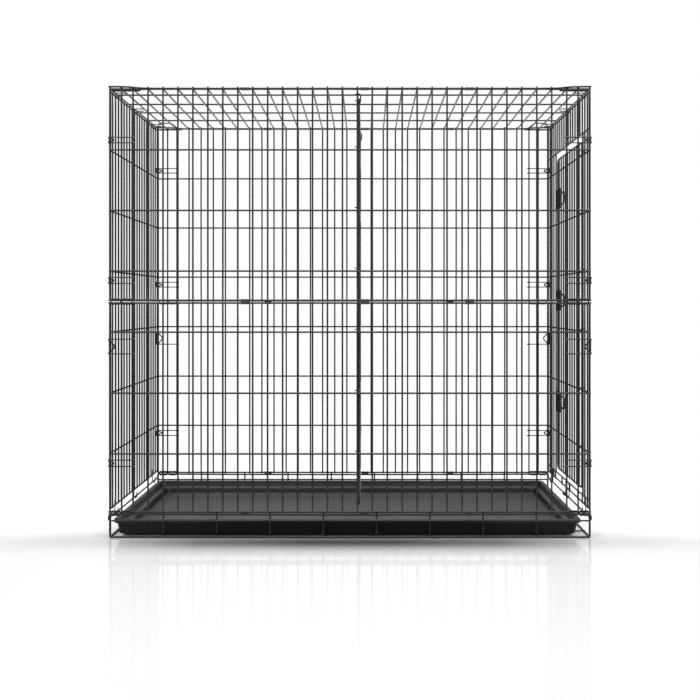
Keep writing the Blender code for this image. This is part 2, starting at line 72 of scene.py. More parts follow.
camera_data = bpy.data.cameras.new("eye")
camera_data.lens = 64.1
camera_data.sensor_width = 36.0
camera_data.shift_x = -0.0229
camera_data.shift_y = -0.0671
camera = bpy.data.objects.new("eye", camera_data)
camera.location = EYE
camera.rotation_euler = (math.pi / 2, 0, 0)
bpy.context.collection.objects.link(camera)
scene = bpy.context.scene
scene.camera = camera
scene.view_settings.view_transform = "Standard"

backdrop = bpy.data.worlds.new("white_sweep")
backdrop.use_nodes = True
sweep = backdrop.node_tree.nodes["Background"]
sweep.inputs["Color"].default_value = (1.0, 1.0, 1.0, 1.0)
links = backdrop.node_tree.links
ray = backdrop.node_tree.nodes.new("ShaderNodeLightPath")
heading = backdrop.node_tree.nodes.new("ShaderNodeTexCoord")
split = backdrop.node_tree.nodes.new("ShaderNodeSeparateXYZ")
open_side = backdrop.node_tree.nodes.new("ShaderNodeMapRange")
flagged = backdrop.node_tree.nodes.new("ShaderNodeMapRange")
open_side.inputs["From Min"].default_value = 0.90
open_side.inputs["From Max"].default_value = 0.97
open_side.inputs["To Min"].default_value = 0.08
open_side.inputs["To Max"].default_value = 0.90
flagged.inputs["To Min"].default_value = 1.0
links.new(heading.outputs["Generated"], split.inputs[0])
links.new(split.outputs["Y"], open_side.inputs["Value"])
links.new(open_side.outputs["Result"], flagged.inputs["To Max"])
links.new(ray.outputs["Is Glossy Ray"], flagged.inputs["Value"])
links.new(flagged.outputs["Result"], sweep.inputs["Strength"])
scene.world = backdrop


def softbox(name, place, aim, size, watts):
    data = bpy.data.lights.new(name, "AREA")
    data.shape = "RECTANGLE"
    data.size, data.size_y = size
    data.energy = watts
    made = bpy.data.objects.new(name, data)
    made.location = place
    made.rotation_mode = "QUATERNION"
    made.rotation_quaternion = (Vector(aim) - Vector(place)).to_track_quat("-Z", "Y")
    bpy.context.collection.objects.link(made)


softbox("overhead_box", (0.2, -1.2, 3.2), (0, 0, 0.3), (3.2, 1.8), 90)
softbox("left_box", (-3.0, -1.8, 1.6), (0, 0, 0.6), (0.9, 2.4), 35)
softbox("right_box", (3.2, -1.2, 1.8), (0, 0, 0.6), (0.9, 2.4), 30)


# ---------------------------------------------------------------- base cage
# The floor and the low sides are one cage of steel rod: thick rod round the edge, thin rod
# across, each crossing pressed together by a spot weld, and the whole dipped in satin black coat.
def outer(node, axis, end):
    """The place of a node's outermost wire: its box less half the frame wire's thickness."""
    low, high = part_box(node)
    return (high if end > 0 else low)[axis] - end * HEAVY_CAD / 2


HEAVY_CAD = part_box("floor_grid")[1][2]
HALF_LENGTH = outer("floor_grid", 0, 1)
HALF_DEPTH = outer("floor_grid", 1, 1)
RIM_Z = outer("base_front", 2, 1)
END_RAIL_Z = outer("base_left", 2, 1)
SECOND_Z = RIM_Z - 0.0169   # a thinner rail below the rim
PITCH = 0.038           # between the uprights of every wall
DROP_PITCH = 0.1354     # between the base's uprights

HEAVY = 0.0024          # radius of the rails and posts
ROD = 0.00225           # radius of the mesh rods
THIN = 0.00145          # radius of the hook wire
RAIL_OUT = 0.0013       # rails and cross rods lie outside the uprights
CROSS_OUT = 0.0017
UPRIGHT_IN = 0.00145
TIP = 0.0034            # what a rod stands past the rail it is welded to


class Socket:
    """An output of a material's node, so that sums on surface values read as arithmetic."""

    def __init__(self, tree, output):
        self.tree = tree
        self.output = output

    def node(self, kind, settings=None, inputs=None, output=0):
        made = self.tree.nodes.new(kind)
        for name, value in (settings or {}).items():
            setattr(made, name, value)
        for key, value in (inputs or {}).items():
            if isinstance(value, Socket):
                self.tree.links.new(value.output, made.inputs[key])
            else:
                made.inputs[key].default_value = value
        return Socket(self.tree, made.outputs[output])

    def math(self, operation, first, second):
        return self.node("ShaderNodeMath", {"operation": operation}, {0: first, 1: second})

    def __add__(self, other):
        return self.math("ADD", self, other)

    def __sub__(self, other):
        return self.math("SUBTRACT", self, other)

    def __rsub__(self, other):
        return self.math("SUBTRACT", other, self)

    def __mul__(self, other):
        return self.math("MULTIPLY", self, other)

    __radd__ = __add__
    __rmul__ = __mul__

    def ramp(self, low, high):
        """0 below low, 1 above high, and a straight rise between them."""
        return self.node("ShaderNodeMapRange", {"clamp": True},
                         {"Value": self, "From Min": low, "From Max": high})

    def noise(self, scale, detail=2.0, roughness=0.5):
        return self.node("ShaderNodeTexNoise", {},
                         {"Vector": self, "Scale": scale, "Detail": detail,
                          "Roughness": roughness})

    def blend(self, first, second):
        """Between two colours, with this value as the share of the second."""
        return self.node("ShaderNodeMix", {"data_type": "RGBA"},
                         {0: self, 6: first, 7: second}, output=2)


def grey(level, tint=0.0):
    """A neutral colour, or one tinted warm above 0 and cool below it."""
    return (level * (1 + tint), level, level * (1 - tint), 1.0)


def new_finish(name):
    """A material with a bare Principled shader, its shader node, and object coordinates."""
    made = bpy.data.materials.new(name)
    made.use_nodes = True
    tree = made.node_tree
    shader = tree.nodes["Principled BSDF"]
    place = Socket(tree, tree.nodes.new("ShaderNodeTexCoord").outputs["Object"])
    return made, shader, place


def plug(shader, name, value):
    if isinstance(value, Socket):
        shader.id_data.links.new(value.output, shader.inputs[name])
    else:
        shader.inputs[name].default_value = value


def coat_finish(name, black, gloss, worn):
    """Satin black electro-coat on steel. It is glossier where it ran thick, dusty on what faces
    up, and rubbed to dull steel where the mesh's wear attribute says so."""
    made, shader, place = new_finish(name)
    patches = place.noise(14.0, 3.0)
    fine = place.noise(420.0, 2.0)
    facing = place.node("ShaderNodeNewGeometry", output="Normal")
    up = facing.node("ShaderNodeSeparateXYZ", {}, {0: facing}, output="Z")
    dust = up.ramp(0.35, 1.0) * place.noise(55.0, 4.0).ramp(0.42, 0.75)
    rubbed = place.node("ShaderNodeAttribute", {"attribute_name": "wear"}, output="Fac")
    bare = (rubbed * worn * place.noise(260.0, 3.0).ramp(0.30, 0.62)).ramp(0.15, 0.85)
    coat = patches.ramp(0.35, 0.7).blend(grey(black, 0.02), grey(black * 1.9, 0.03))
    dusty = (dust * 0.35).blend(coat, grey(0.07, 0.05))
    plug(shader, "Base Color", bare.blend(dusty, grey(0.17, 0.03)))
    plug(shader, "Roughness", gloss + patches * 0.10 + dust * 0.22 + bare * 0.05)
    plug(shader, "Metallic", bare * 0.85)
    plug(shader, "Coat Weight", (1 - bare) * 0.15)
    plug(shader, "Coat Roughness", 0.18)
    skin = fine.node("ShaderNodeBump", {}, {"Strength": 0.12, "Distance": 0.0002, "Height": fine})
    plug(shader, "Normal", skin)
    return made


WIRE_COAT = coat_finish("satin_wire_coat", 0.006, 0.27, 0.8)


def rounded(points, radius, steps=4):
    """A path through corner points with each inner corner turned on an arc."""
    points = [Vector(p) for p in points]
    path = [points[0]]
    for before, corner, after in zip(points, points[1:], points[2:]):
        back = before - corner
        on = after - corner
        reach = min(radius, back.length * 0.48, on.length * 0.48)
        start = corner + back.normalized() * reach
        end = corner + on.normalized() * reach
        for k in range(steps + 1):
            t = k / steps
            path.append(start * (1 - t) ** 2 + corner * 2 * t * (1 - t) + end * t ** 2)
    path.append(points[-1])
    return path


def drawn(start, end, bow=0.00022):
    """A straight rod as it leaves the straightener, with a slight bow of its own."""
    start, end = Vector(start), Vector(end)
    run = end - start
    side = run.orthogonal().normalized()
    other = run.cross(side).normalized()
    lean = side * wander.uniform(-bow, bow) + other * wander.uniform(-bow, bow)
    count = max(2, round(run.length / 0.09))
    return [start + run * (k / count) + lean * math.sin(math.pi * k / count)
            for k in range(count + 1)]


def wear_layer(bm):
    """The mesh's wear attribute, which the coat reads: 0 as coated, 1 rubbed to the steel."""
    return bm.verts.layers.float.get("wear") or bm.verts.layers.float.new("wear")


def bridge(bm, rings):
    """Skins the gaps between closed rings that all have the same number of points."""
    for low, high in zip(rings, rings[1:]):
        for k in range(len(low)):
            bm.faces.new((low[k - 1], low[k], high[k], high[k - 1]))


def skin_rod(bm, path, radius, sides=10):
    """Skins a path with round rod. The cut ends are chamfered and marked as worn."""
    wear = wear_layer(bm)
    path = [Vector(p) for p in path]
    runs = [(b - a).normalized() for a, b in zip(path, path[1:])]
    ways = [runs[0]] + [(a + b).normalized() for a, b in zip(runs, runs[1:])] + [runs[-1]]
    lip = radius * 0.35
    stations = [(path[0], ways[0], 0.68, 1.0), (path[0] + ways[0] * lip, ways[0], 1.0, 0.5)]
    stations += [(p, w, 1.0, 0.0) for p, w in zip(path[1:-1], ways[1:-1])]
    stations += [(path[-1] - ways[-1] * lip, ways[-1], 1.0, 0.5), (path[-1], ways[-1], 0.68, 1.0)]
    side = ways[0].orthogonal().normalized()
    rings = []
    for point, way, share, worn in stations:
        side = (side - way * side.dot(way)).normalized()
        other = way.cross(side)
        ring = []
        for k in range(sides):
            turn = math.tau * k / sides
            spoke = side * math.cos(turn) + other * math.sin(turn)
            vert = bm.verts.new(point + spoke * radius * share)
            vert[wear] = worn
            ring.append(vert)
        rings.append(ring)
    bridge(bm, rings)
    bm.faces.new(rings[0][::-1])
    bm.faces.new(rings[-1])


def weld_bead(bm, place, flat_axis, radius=ROD):
    """The small puddle of steel that a spot weld squeezes out between two crossing rods."""
    wear = wear_layer(bm)
    size = [radius * 1.55] * 3
    size[flat_axis] = radius * 0.75
    shape = Matrix.Translation(place) @ Matrix.Diagonal((*size, 1.0))
    made = bmesh.ops.create_icosphere(bm, subdivisions=2, radius=1.0, matrix=shape)
    for vert in made["verts"]:
        vert[wear] = 0.12


def add_piece(name, bm, body, finish, replaced, sharp_degrees=40):
    """Turns a bmesh into a piece that rides on a body and stands for its CAD nodes."""
    bmesh.ops.recalc_face_normals(bm, faces=bm.faces[:])
    mesh = bpy.data.meshes.new(name)
    bm.to_mesh(mesh)
    bm.free()
    mesh.shade_smooth()
    mesh.set_sharp_from_angle(angle=math.radians(sharp_degrees))
    made = bpy.data.objects.new(name, mesh)
    made.data.materials.append(finish)
    bpy.context.collection.objects.link(made)
    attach(made, body)
    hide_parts(*replaced)


def rods_piece(name, node, body, rods, beads=(), flat_axis=1):
    """A welded grid: rods are (path, radius) and beads are the places of its spot welds."""
    bm = bmesh.new()
    for path, radius in rods:
        skin_rod(bm, path, radius)
    for place in beads:
        weld_bead(bm, place, flat_axis)
    add_piece(name, bm, body, WIRE_COAT, (node,))


DROPS = [side * (n + 0.5) * DROP_PITCH for n in range(4) for side in (-1, 1)]
UPRIGHTS = sorted([side * (n + 0.5) * PITCH for n in range(15) for side in (-1, 1)]
                  + [-0.580, 0.580])
FLOOR_RUNS = [n * 0.092 for n in range(-3, 4)]

# The edge of the floor is one heavy rod bent round its four corners
FLOOR_Z = HEAVY + 0.0001
FLOOR_ROD = 0.00155     # the floor's mesh is finer, and lies under the tray
RUN_Z = FLOOR_ROD + 0.0001
DROP_Z = 0.0036
edge = [(0, -HALF_DEPTH, FLOOR_Z), (HALF_LENGTH, -HALF_DEPTH, FLOOR_Z),
        (HALF_LENGTH, HALF_DEPTH, FLOOR_Z), (-HALF_LENGTH, HALF_DEPTH, FLOOR_Z),
        (-HALF_LENGTH, -HALF_DEPTH, FLOOR_Z), (0.0005, -HALF_DEPTH, FLOOR_Z)]
floor_rods = [(rounded(edge, 0.006), HEAVY)]
floor_rods += [(drawn((-HALF_LENGTH - 0.002, y, RUN_Z), (HALF_LENGTH + 0.002, y, RUN_Z), 0),
                FLOOR_ROD) for y in FLOOR_RUNS]
floor_rods += [(drawn((x, -HALF_DEPTH, DROP_Z), (x, HALF_DEPTH, DROP_Z), 0), FLOOR_ROD)
               for x in DROPS]
floor_beads = [(x, y, DROP_Z - 0.0010) for x in DROPS for y in FLOOR_RUNS]
rods_piece("floor_rods", "floor_grid", "crate", floor_rods, floor_beads, flat_axis=2)

for wall, side in (("front", -1), ("back", 1)):
    face_y = side * HALF_DEPTH
    rail_y = face_y + side * RAIL_OUT
    drop_y = face_y - side * UPRIGHT_IN
    # The rim bows down a few millimetres between the corners
    rim = [(x, rail_y, RIM_Z - 0.0016 * math.cos(math.pi * x / 1.25)) for x in
           (-HALF_LENGTH - TIP, *[k * 0.1 for k in range(-6, 7)], HALF_LENGTH + TIP)]
    rods = [(rim, HEAVY)]
    rods.append((drawn((-HALF_LENGTH, face_y + side * CROSS_OUT, SECOND_Z),
                       (HALF_LENGTH, face_y + side * CROSS_OUT, SECOND_Z)), ROD))
    rods += [(drawn((x, face_y, HEAVY * 2 + 0.0004), (x, face_y, RIM_Z + 0.002)), HEAVY)
             for x in (-HALF_LENGTH, HALF_LENGTH)]
    # Each drop is the end of a floor rod, turned up round the edge rod and welded to the rim
    for x in DROPS:
        turn_up = [(x, face_y - side * 0.012, DROP_Z), (x, face_y + side * 0.0002, DROP_Z),
                   (x, drop_y + side * 0.0002, 0.010), (x, drop_y, RIM_Z + 0.0005)]
        rods.append((rounded(turn_up, 0.003), ROD))
    beads = [(x, face_y - side * 0.0004, z) for x in DROPS for z in (SECOND_Z, RIM_Z)]
    rods_piece(f"base_{wall}_rods", f"base_{wall}", "crate", rods, beads)

for end, sign in (("left", -1), ("right", 1)):
    end_x = sign * HALF_LENGTH
    post_y = outer(f"base_{end}", 1, 1)
    rods = []
    # The end rail runs out past its posts into a small upturned hook at each corner
    for way in (-1, 1):
        hook = [(end_x, 0, END_RAIL_Z), (end_x, way * (post_y - 0.004), END_RAIL_Z),
                (end_x + sign * 0.0030, way * (post_y + 0.001), END_RAIL_Z - 0.006),
                (end_x + sign * 0.0032, way * (HALF_DEPTH + 0.0005), END_RAIL_Z - 0.006),
                (end_x + sign * 0.0032, way * (HALF_DEPTH + 0.0012), END_RAIL_Z + 0.006)]
        rods.append((rounded(hook, 0.004), HEAVY * 0.8))
        rods.append((drawn((end_x, way * post_y, HEAVY * 2 + 0.0004),
                           (end_x, way * post_y, END_RAIL_Z)), HEAVY))
    rods.append((drawn((end_x, -post_y, END_RAIL_Z), (end_x, post_y, END_RAIL_Z)), HEAVY))
    beads = [(end_x, way * post_y, END_RAIL_Z) for way in (-1, 1)]
    rods_piece(f"base_{end}_rods", f"base_{end}", "crate", rods, beads, flat_axis=0)


# ---------------------------------------------------------------- tray
# The tray is one sheet of grained black plastic, vacuum-formed over a tool: a rolled flange on a
# leaning wall, a gutter inside it and two low steps that stiffen the floor. It slides out.
tray_low, tray_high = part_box("tray")
TRAY_TOP = tray_high[2]
TRAY_BOTTOM = tray_low[2]
WELL = TRAY_BOTTOM + 0.0030
TRAY_SECTIONS = (       # inset from the flange's edge, height
    (0.0150, TRAY_BOTTOM), (0.0136, TRAY_BOTTOM + 0.0006), (0.0128, TRAY_BOTTOM + 0.0030),
    (0.0082, TRAY_TOP - 0.0125), (0.0072, TRAY_TOP - 0.0100), (0.0035, TRAY_TOP - 0.0096),
    (0.0030, TRAY_TOP - 0.0102), (0.0002, TRAY_TOP - 0.0102), (0.0000, TRAY_TOP - 0.0098),
    (0.0000, TRAY_TOP - 0.0024), (0.0007, TRAY_TOP - 0.0007), (0.0022, TRAY_TOP),
    (0.0106, TRAY_TOP), (0.0121, TRAY_TOP - 0.0007), (0.0129, TRAY_TOP - 0.0022),
    (0.0165, TRAY_TOP - 0.0150), (0.0176, TRAY_TOP - 0.0166), (0.0194, TRAY_TOP - 0.0172),
    (0.0260, TRAY_TOP - 0.0192), (0.0272, TRAY_TOP - 0.0200), (0.0282, TRAY_TOP - 0.0218),
    (0.0310, WELL + 0.0026), (0.0320, WELL + 0.0006), (0.0335, WELL),
    (0.0390, WELL), (0.0400, WELL + 0.0006), (0.0414, WELL + 0.0030), (0.0428, WELL + 0.0036),
    (0.0500, WELL + 0.0036), (0.0514, WELL + 0.0030), (0.0528, WELL + 0.0006), (0.0545, WELL),
)
TRAY_CORNER = 0.020


def corner_outline(half_x, half_y, radius, steps=10, along=12):
    """A rectangle with round corners and evenly spaced points along its sides."""
    corners = ((1, 1), (-1, 1), (-1, -1), (1, -1))
    points = []
    for k, (sx, sy) in enumerate(corners):
        centre = Vector((sx * (half_x - radius), sy * (half_y - radius)))
        arc = [centre + Vector((math.cos(a), math.sin(a))) * radius
               for a in (math.pi / 2 * (k + j / steps) for j in range(steps + 1))]
        points += arc
        next_x, next_y = corners[(k + 1) % 4]
        first = Vector((next_x * (half_x - radius), next_y * (half_y - radius)))
        turn = math.pi / 2 * (k + 1)
        first += Vector((math.cos(turn), math.sin(turn))) * radius
        points += [arc[-1].lerp(first, j / along) for j in range(1, along)]
    return points


def plastic_finish(name):
    """Black polyethylene sheet with a leathery grain, scuffed grey on the high spots, and with
    painted light from above: whatever faces up is painted a lighter grey.
    """
    made, shader, place = new_finish(name)
    grain = place.node("ShaderNodeTexVoronoi", {"feature": "SMOOTH_F1"},
                       {"Vector": place, "Scale": 620.0, "Smoothness": 0.6}, output="Distance")
    cloudy = place.noise(6.0, 4.0)
    smears = place.node("ShaderNodeMapping", {}, {"Vector": place, "Scale": (3.0, 22.0, 1.0)})
    streaks = smears.noise(4.0, 5.0, 0.62).ramp(0.50, 0.78)
    facing = place.node("ShaderNodeNewGeometry", output="Normal")
    up = facing.node("ShaderNodeSeparateXYZ", {}, {0: facing}, output="Z").ramp(0.5, 0.95)
    scuffed = up * (cloudy.ramp(0.35, 0.75) * 0.6 + streaks * 0.35)
    body = cloudy.ramp(0.3, 0.7).blend(grey(0.006, -0.03), grey(0.009, -0.03))
    # Painted light: surfaces that face up are painted a lighter grey, as if lit from above.
    painted_top_light = (up * 0.80).blend(body, grey(0.070, -0.02))
    plug(shader, "Base Color", (scuffed * 0.40).blend(painted_top_light, grey(0.100, 0.0)))
    plug(shader, "Roughness", 0.46 + scuffed * 0.16 - grain * 0.05)
    plug(shader, "Specular IOR Level", 0.40)
    leather = grain.node("ShaderNodeBump", {},
                         {"Strength": 0.30, "Distance": 0.0006, "Height": grain + cloudy * 0.4})
    plug(shader, "Normal", leather)
    return made


PLASTIC = plastic_finish("grained_tray_plastic")


def build_tray():
    half_x = (tray_high[0] - tray_low[0]) / 2
    half_y = (tray_high[1] - tray_low[1]) / 2
    middle_x = (tray_high[0] + tray_low[0]) / 2
    bm = bmesh.new()
    loops = []
    for inset, z in TRAY_SECTIONS:
        outline = corner_outline(half_x - inset, half_y - inset, max(TRAY_CORNER - inset, 0.012))
        loops.append([bm.verts.new((p.x + middle_x, p.y, z)) for p in outline])
    bridge(bm, loops)
    bm.faces.new(loops[0])
    bm.faces.new(loops[-1])
    add_piece("moulded_tray", bm, "tray", PLASTIC, ("tray",), sharp_degrees=50)


build_tray()


# ---------------------------------------------------------------- long walls
# Each long wall is two welded grids, one above the other, with the uprights inside the cross
# rods. Thin spring hooks welded on at the corners reach round the end walls' posts.
lid_clip_low, lid_clip_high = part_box("clip_front_top_left")
TOP_Z = (lid_clip_low[2] + lid_clip_high[2]) / 2
TOP_TIP = outer("front_upper_panel", 2, 1) + HEAVY_CAD / 2 - TOP_Z
LOWER_CROSS = (0.214, 0.368, 0.523)
UPPER_CROSS = (0.678, 0.832, 0.986)
LOWER_HOOKS = ((0.182, 0.198), (0.468, 0.505))
UPPER_HOOKS = ((0.647, 0.662), (1.004, 1.018))
SPRING = 0.0018
HOOK_X = HALF_LENGTH + 0.0041
HOOK_TIP_Y = HALF_DEPTH - 0.0112


def corner_hook(sign, side, low_z, high_z):
    """One wire runs along the wall, steps out past the post, turns round the corner and comes
    back lower down. A second, stouter one is sprung over the front of the post."""
    face_y = side * HALF_DEPTH
    flat_y = face_y + side * 0.0010
    proud_y = face_y + side * 0.0031
    inner_x = sign * (UPRIGHTS[-2] - 0.0065)
    leg = [(inner_x, flat_y), (sign * 0.5985, flat_y), (sign * 0.6050, proud_y),
           (sign * 0.6110, proud_y), (sign * HOOK_X, face_y - side * 0.001),
           (sign * HOOK_X, side * HOOK_TIP_Y)]
    down = [(x, y, low_z) for x, y in leg]
    back = [(x, y, high_z) for x, y in reversed(leg)]
    rods = [(rounded(down + back, 0.0028), THIN)]
    middle = (low_z + high_z) / 2
    reach = 0.010 + 0.10 * (high_z - low_z - 0.014)
    front_y = face_y + side * 0.0029
    # The spring: down from the upper leg, bowed in over the front of the post, and out again
    loop = [(sign * 0.6138, proud_y, high_z - 0.0012),
            (sign * 0.6085, front_y, high_z - 0.0034),
            (sign * (HALF_LENGTH - reach), front_y, middle + 0.0020),
            (sign * (HALF_LENGTH - reach), front_y, middle - 0.0020),
            (sign * 0.6085, front_y, low_z + 0.0030),
            (sign * 0.6140, proud_y, low_z + 0.0008)]
    rods.append((rounded(loop, 0.006, 6), SPRING))
    return rods


def seam_links(sign, side, low_z, high_z):
    """Two long rings of hook wire, squeezed shut round both rails of a seam near its corner."""
    away_y = side * (HALF_DEPTH + 0.0033)
    top, foot = high_z + HEAVY + THIN * 0.6, low_z - HEAVY - THIN * 0.6
    rods = []
    for start, stop in ((0.5535, 0.5780), (0.5820, 0.6060)):
        middle = (start + stop) / 2
        ring = [(middle, top), (stop, top), (stop, foot), (start, foot), (start, top),
                (middle - 0.0006, top)]
        path = [(sign * x, away_y, z) for x, z in ring]
        rods.append((rounded(path, 0.0045, 5), THIN))
    return rods


def long_half(wall, half, side, cross, hooks):
    node = f"{wall}_{half}_panel"
    bottom = outer(node, 2, -1)
    top = TOP_Z if half == "upper" else outer(node, 2, 1)
    face_y = side * HALF_DEPTH
    rail_y = face_y + side * RAIL_OUT
    cross_y = face_y + side * CROSS_OUT
    upright_y = face_y - side * UPRIGHT_IN
    post_y = face_y - side * 0.0004
    end_x = HALF_LENGTH + TIP
    rods = [(drawn((-end_x, rail_y, bottom), (end_x, rail_y, bottom)), HEAVY)]
    if half == "upper":
        # The top rail springs up a little over its last upright, away from the lid's edge
        spring = [(-end_x, top + 0.0048), (-0.590, top + 0.0046), (-0.560, top + 0.0040),
                  (-0.535, top + 0.0010), (-0.500, top), (0.500, top), (0.535, top + 0.0010),
                  (0.560, top + 0.0040), (0.590, top + 0.0046), (end_x, top + 0.0048)]
        rods.append((rounded([(x, rail_y, z) for x, z in spring], 0.02), HEAVY))
    else:
        rods.append((drawn((-end_x, rail_y, top), (end_x, rail_y, top)), HEAVY))
    rods += [(drawn((-end_x + 0.001, cross_y, z), (end_x - 0.001, cross_y, z)), ROD) for z in cross]
    foot, head = bottom - 0.0026, top + (TOP_TIP if half == "upper" else 0.0026)
    rods += [(drawn((x, upright_y, foot), (x, upright_y, head)), ROD) for x in UPRIGHTS]
    rods += [(drawn((x, post_y, foot), (x, post_y, head)), HEAVY)
             for x in (-HALF_LENGTH, HALF_LENGTH)]
    for sign in (-1, 1):
        for low_z, high_z in hooks:
            rods += corner_hook(sign, side, low_z, high_z)
        under_z = RIM_Z if half == "lower" else outer(f"{wall}_lower_panel", 2, 1)
        rods += seam_links(sign, side, under_z, bottom)
    beads = [(x, face_y - side * 0.0004, z) for x in UPRIGHTS for z in (bottom, top, *cross)]
    hook_welds = [(sign * x, face_y - side * 0.0001, z) for sign in (-1, 1)
                  for x in UPRIGHTS[-2:] for pair in hooks for z in pair]
    rods_piece(f"{wall}_{half}_rods", node, "crate", rods, beads + hook_welds)


for wall, side in (("front", -1), ("back", 1)):
    long_half(wall, "lower", side, LOWER_CROSS, LOWER_HOOKS)
    long_half(wall, "upper", side, UPPER_CROSS, UPPER_HOOKS)


# ---------------------------------------------------------------- end walls
# The end walls stand between the long ones. The plain left end is two grids that fold inwards:
# the lower turns on the base rail by bent eyes, the upper hangs from eyes on the top panel.
END_POST_Y = outer("left_upper_panel", 1, 1) - 0.0011
END_TIP_Y = END_POST_Y + HEAVY
END_BOTTOM_Z = 0.074
END_TOP_Z = outer("left_upper_panel", 2, 1)
SEAM_LOW = outer("left_lower_panel", 2, 1)
SEAM_HIGH = outer("left_upper_panel", 2, -1)
EYE_STATIONS = (-7.5 * PITCH, -0.5 * PITCH, 7.5 * PITCH)
EYE_TURN = 0.0042       # from the middle of the rail to the middle of the eye's wire
END_UPRIGHTS = [n * PITCH for n in range(-9, 10)]


def rail_eye(x, sign, y, rail_z, tail_z, stem_z):
    """A hook that drops outside a rail, turns round under it and comes back up inside."""
    rise = math.copysign(1.0, stem_z - rail_z)
    turn = [(x + sign * EYE_TURN * math.cos(a), y, rail_z - rise * EYE_TURN * math.sin(a))
            for a in (math.pi * k / 10 for k in range(11))]
    return [(x + sign * 0.0022, y, stem_z), (x + sign * EYE_TURN, y, stem_z - rise * 0.008),
            *turn, (x - sign * EYE_TURN, y, tail_z)]


def end_rods(x, sign, strips, rails, posts, cross, uprights):
    """The rods of one end grid. strips are the ranges of Y that cross rods fill, rails are
    (z, low y, high y), and posts and uprights are (y, low z, high z)."""
    rail_x = x + sign * 0.0002
    cross_x = x + sign * CROSS_OUT
    upright_x = x - sign * UPRIGHT_IN
    rods = [(drawn((rail_x, low, z), (rail_x, high, z), 0), HEAVY) for z, low, high in rails]
    rods += [(drawn((x, y, low), (x, y, high), 0), HEAVY) for y, low, high in posts]
    rods += [(drawn((cross_x, low, z), (cross_x, high, z)), ROD)
             for z in cross for low, high in strips]
    beads = []
    for y, low, high in uprights:
        rods.append((drawn((upright_x, y, low - 0.0022), (upright_x, y, high + 0.0022)), ROD))
        met = [z for z, start, stop in rails if start < y < stop and low <= z <= high]
        met += [z for z in cross if low < z < high and any(a < y < b for a, b in strips)]
        beads += [(x - sign * 0.0004, y, z) for z in met]
    return rods, beads


end_x = -HALF_LENGTH
full = [(-END_TIP_Y, END_TIP_Y)]
rods, beads = end_rods(
    end_x, -1, full,
    [(END_BOTTOM_Z, -END_TIP_Y, END_TIP_Y), (SEAM_LOW, -END_TIP_Y, END_TIP_Y)],
    [(y, END_BOTTOM_Z - 0.002, SEAM_LOW + 0.0025) for y in (-END_POST_Y, END_POST_Y)],
    LOWER_CROSS, [(y, END_BOTTOM_Z, SEAM_LOW) for y in END_UPRIGHTS])
rods += [(rail_eye(end_x, -1, y, END_RAIL_Z, END_RAIL_Z + 0.012, END_BOTTOM_Z + 0.016), THIN)
         for y in EYE_STATIONS]
rods_piece("left_lower_rods", "left_lower_panel", "left_lower_end", rods, beads, flat_axis=0)

rods, beads = end_rods(
    end_x, -1, full,
    [(SEAM_HIGH, -END_TIP_Y, END_TIP_Y), (END_TOP_Z, -END_TIP_Y, END_TIP_Y)],
    [(y, SEAM_HIGH - 0.0025, END_TOP_Z + 0.002) for y in (-END_POST_Y, END_POST_Y)],
    UPPER_CROSS, [(y, SEAM_HIGH, END_TOP_Z) for y in END_UPRIGHTS])
rods_piece("left_upper_rods", "left_upper_panel", "left_upper_end", rods, beads, flat_axis=0)

# The right end is two arches round one tall doorway; the door hangs on the arches' front legs
hinge = next(j for j in frame["joints"] if j["name"] == "door_hinge")["pos_m"]
HINGE_Y = hinge[1]
DOOR_EDGE_Y = outer("door", 1, 1)
KEEP_Y = 0.194
SILL_Z = 0.093
LINTEL_Z = 1.042
end_x = HALF_LENGTH
side_strips = [(-END_TIP_Y, HINGE_Y + 0.002), (KEEP_Y - 0.002, END_TIP_Y)]


def door_arch(half, seam_z, lintel_z, outer_z, cross, stays, extra):
    low_z, high_z = min(seam_z, outer_z), max(seam_z, outer_z)
    rails = [(outer_z, -END_TIP_Y, END_TIP_Y), (lintel_z, -END_TIP_Y, END_TIP_Y)]
    rails += [(seam_z, low, high) for low, high in side_strips]
    posts = [(y, low_z - 0.002, high_z + 0.002) for y in (-END_POST_Y, END_POST_Y)]
    posts += [(y, min(seam_z, lintel_z), max(seam_z, lintel_z)) for y in (HINGE_Y, KEEP_Y)]

    starts = [(y, lintel_z) for y in stays]
    starts += [(y, seam_z) for y in END_UPRIGHTS
               if any(low + PITCH / 4 < y < high - PITCH / 4 for low, high in side_strips)]
    uprights = [(y, min(start, outer_z), max(start, outer_z)) for y, start in starts]
    rods, beads = end_rods(end_x, 1, side_strips, rails, posts, cross, uprights)
    rods_piece(f"right_{half}_rods", f"right_{half}_panel", "crate", rods + extra, beads,
               flat_axis=0)


eyes = [(rail_eye(end_x, 1, y, END_RAIL_Z, END_RAIL_Z + 0.012, END_BOTTOM_Z + 0.016), THIN)
        for y in EYE_STATIONS]
door_arch("lower", SEAM_LOW, SILL_Z, END_BOTTOM_Z, LOWER_CROSS,
          (HINGE_Y, -0.198, -0.063, 0.072, KEEP_Y), eyes)
door_arch("upper", SEAM_HIGH, LINTEL_Z, END_TOP_Z, UPPER_CROSS,
          [y for y in END_UPRIGHTS if HINGE_Y <= y < KEEP_Y], [])


# ---------------------------------------------------------------- top panel
# The lid is a flat grid between the long walls' top rails. Bent eyes at its ends carry the end
# walls, and a long loop of hook wire at each corner clamps it over the end wall's top rail.
TOP_EDGE_Y = HALF_DEPTH - 0.0072
BAIL_Z = cad_high[2] - THIN * 1.15 - 0.0001
TOP_RUNS = (-0.260, -0.107, 0.045, 0.197)

